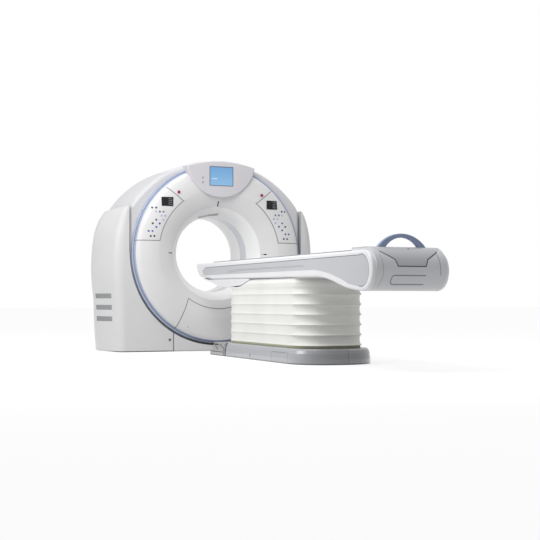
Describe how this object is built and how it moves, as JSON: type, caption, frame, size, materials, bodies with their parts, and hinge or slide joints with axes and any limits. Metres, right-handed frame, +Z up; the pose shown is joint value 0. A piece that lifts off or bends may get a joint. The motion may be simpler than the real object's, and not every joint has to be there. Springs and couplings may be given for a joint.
{
  "type": "ct scanner",
  "caption": "Tilting-gantry CT scanner: round moulded gantry with a patient tunnel between two stands, and a lifting couch on a bellows with a sliding top.",
  "frame": {"origin": "on the floor under the isocentre, on the gantry base plate's underside", "axes": "+Z up, -Y the way the gantry faces and the couch reaches out, +X to the right as seen by someone who faces the gantry from the couch"},
  "size_m": [2.1798, 4.4244, 1.797],
  "materials": {
    "cover_white": "satin moulded shell, faintly warm white",
    "cover_ring": "satin moulded ring",
    "console_grey": "satin light grey moulding",
    "trim_blue": "satin blue-grey band",
    "screen_blue": "lit flat screen behind a clear face",
    "display_black": "glossy black window",
    "key_mixed": "low domed membrane keys",
    "stop_red": "deep red push cap",
    "laser_black": "dark slot window",
    "liner_white": "satin tunnel liner",
    "scan_band": "thin milky band",
    "vent_grey": "ribbed air inlet",
    "stand_white": "satin moulded shell",
    "frame_steel": "powder-coated weldment",
    "plate_steel": "painted floor plate",
    "bearing_steel": "ground ring",
    "drive_dark": "enamelled motor and gearbox",
    "belt_black": "toothed rubber belt",
    "rotor_alloy": "machined casting",
    "slip_ring_resin": "resin ring with contact tracks",
    "tube_grey": "lead-lined housing, enamelled",
    "box_alloy": "folded sheet enclosure",
    "latch_metal": "turned screw head",
    "couch_white": "satin moulded side",
    "inlay_grey": "smooth blue-grey inlay",
    "housing_grey": "satin moulded end",
    "deck_grey": "fine-grained cover strips",
    "tabletop_grey": "carbon-fibre top with a smooth skin",
    "handle_blue": "soft slate-blue grip",
    "rail_alloy": "extruded rail",
    "column_alloy": "drawn lift tube",
    "bellows_cream": "coated folded cloth",
    "base_grey": "satin grey skirt",
    "switch_metal": "folded sheet, satin",
    "pedal_dark": "ribbed foot plate"
  },
  "bodies": {
    "stand_and_base": {"gantry_base_plate": "plate_steel", "right_side_cover": "stand_white", "left_side_cover": "stand_white", "stand_frames": "frame_steel", "tilt_bearings": "bearing_steel", "tilt_gearmotor": "drive_dark", "vent_grilles": "vent_grey", "lower_panels": "stand_white", "couch_base_plate": "plate_steel", "base_covers": "base_grey", "outer_column": "column_alloy", "lift_gearmotor": "drive_dark", "bellows": "bellows_cream", "footswitch_housing": "switch_metal"},
    "right_latch": {"right_cover_latch": "latch_metal"},
    "left_latch": {"left_cover_latch": "latch_metal"},
    "tilting_unit": {"tilt_frame": "frame_steel", "bearing_outer_ring": "bearing_steel", "outer_shell": "cover_white", "rear_cover": "cover_white", "front_cover": "cover_ring", "access_panel": "cover_ring", "control_panels": "cover_ring", "displays": "display_black", "keypads": "key_mixed", "laser_windows": "laser_black", "trim_ring": "trim_blue", "console_hood": "console_grey", "console_screen": "screen_blue", "front_liner": "liner_white", "scan_window": "scan_band", "rear_liner": "liner_white", "rotor_motor": "drive_dark", "drive_belt": "belt_black", "brush_block": "slip_ring_resin"},
    "right_stop_button": {"right_emergency_stop": "stop_red"},
    "left_stop_button": {"left_emergency_stop": "stop_red"},
    "motor_pulley": {"drive_pulley": "rotor_alloy"},
    "rotor": {"rotor_disc": "rotor_alloy", "bearing_inner_ring": "bearing_steel", "slip_ring": "slip_ring_resin", "xray_tube": "tube_grey", "detector_arc": "box_alloy", "rotor_cabinets": "box_alloy"},
    "left_foot_pedal": {"left_pedal": "pedal_dark"},
    "right_foot_pedal": {"right_pedal": "pedal_dark"},
    "lift_middle": {"middle_column": "column_alloy"},
    "couch_top": {"inner_column": "column_alloy", "couch_rails": "rail_alloy", "side_frames": "couch_white", "inlays": "inlay_grey", "chin_cover": "couch_white", "under_tray": "couch_white", "deck": "deck_grey", "end_housing": "housing_grey", "slide_motor": "drive_dark"},
    "sliding_table": {"tabletop": "tabletop_grey", "table_carriage": "rail_alloy", "table_foot_cover": "housing_grey", "table_handle": "handle_blue"}
  },
  "joints": [
    {"name": "gantry_tilt", "type": "hinge", "parent": "stand_and_base", "child": "tilting_unit", "pos_m": [0, 0, 0.916], "axis": [-1, 0, 0], "range_deg": [-30, 30]},
    {"name": "rotor_spin", "type": "hinge", "parent": "tilting_unit", "child": "rotor", "pos_m": [0, 0, 0.916], "axis": [0, 1, 0], "continuous": true},
    {"name": "pulley_spin", "type": "hinge", "parent": "tilting_unit", "child": "motor_pulley", "pos_m": [0.5, 0.186, 0.416], "axis": [0, 1, 0], "continuous": true},
    {"name": "right_stop_press", "type": "slide", "parent": "tilting_unit", "child": "right_stop_button", "axis": [0, 1, 0], "range_m": [0, 0.004], "stiffness_N_per_m": 1500, "springref_m": -0.002},
    {"name": "left_stop_press", "type": "slide", "parent": "tilting_unit", "child": "left_stop_button", "axis": [0, 1, 0], "range_m": [0, 0.004], "stiffness_N_per_m": 1500, "springref_m": -0.002},
    {"name": "right_latch_turn", "type": "hinge", "parent": "stand_and_base", "child": "right_latch", "pos_m": [0.476, -0.335, 0.109], "axis": [0, 1, 0], "range_deg": [0, 90]},
    {"name": "left_latch_turn", "type": "hinge", "parent": "stand_and_base", "child": "left_latch", "pos_m": [-0.476, -0.335, 0.109], "axis": [0, -1, 0], "range_deg": [0, 90]},
    {"name": "couch_lift", "type": "slide", "parent": "stand_and_base", "child": "couch_top", "axis": [0, 0, 1], "range_m": [-0.3, 0.1], "deforming": ["bellows"]},
    {"name": "mid_lift", "type": "slide", "parent": "stand_and_base", "child": "lift_middle", "axis": [0, 0, 1], "range_m": [-0.15, 0.05]},
    {"name": "tabletop_slide", "type": "slide", "parent": "couch_top", "child": "sliding_table", "axis": [0, 1, 0], "range_m": [0, 1.9]},
    {"name": "left_pedal_press", "type": "hinge", "parent": "stand_and_base", "child": "left_foot_pedal", "pos_m": [-0.2775, -1.21, 0.06], "axis": [-1, 0, 0], "range_deg": [0, 9], "stiffness_Nm_per_rad": 20, "springref_deg": -4.58},
    {"name": "right_pedal_press", "type": "hinge", "parent": "stand_and_base", "child": "right_foot_pedal", "pos_m": [-0.1765, -1.21, 0.06], "axis": [-1, 0, 0], "range_deg": [0, 9], "stiffness_Nm_per_rad": 20, "springref_deg": -4.58}
  ],
  "couplings": [
    {"joint": "pulley_spin", "follows": "rotor_spin", "ratio": 12.444},
    {"joint": "mid_lift", "follows": "couch_lift", "ratio": 0.5}
  ]
}
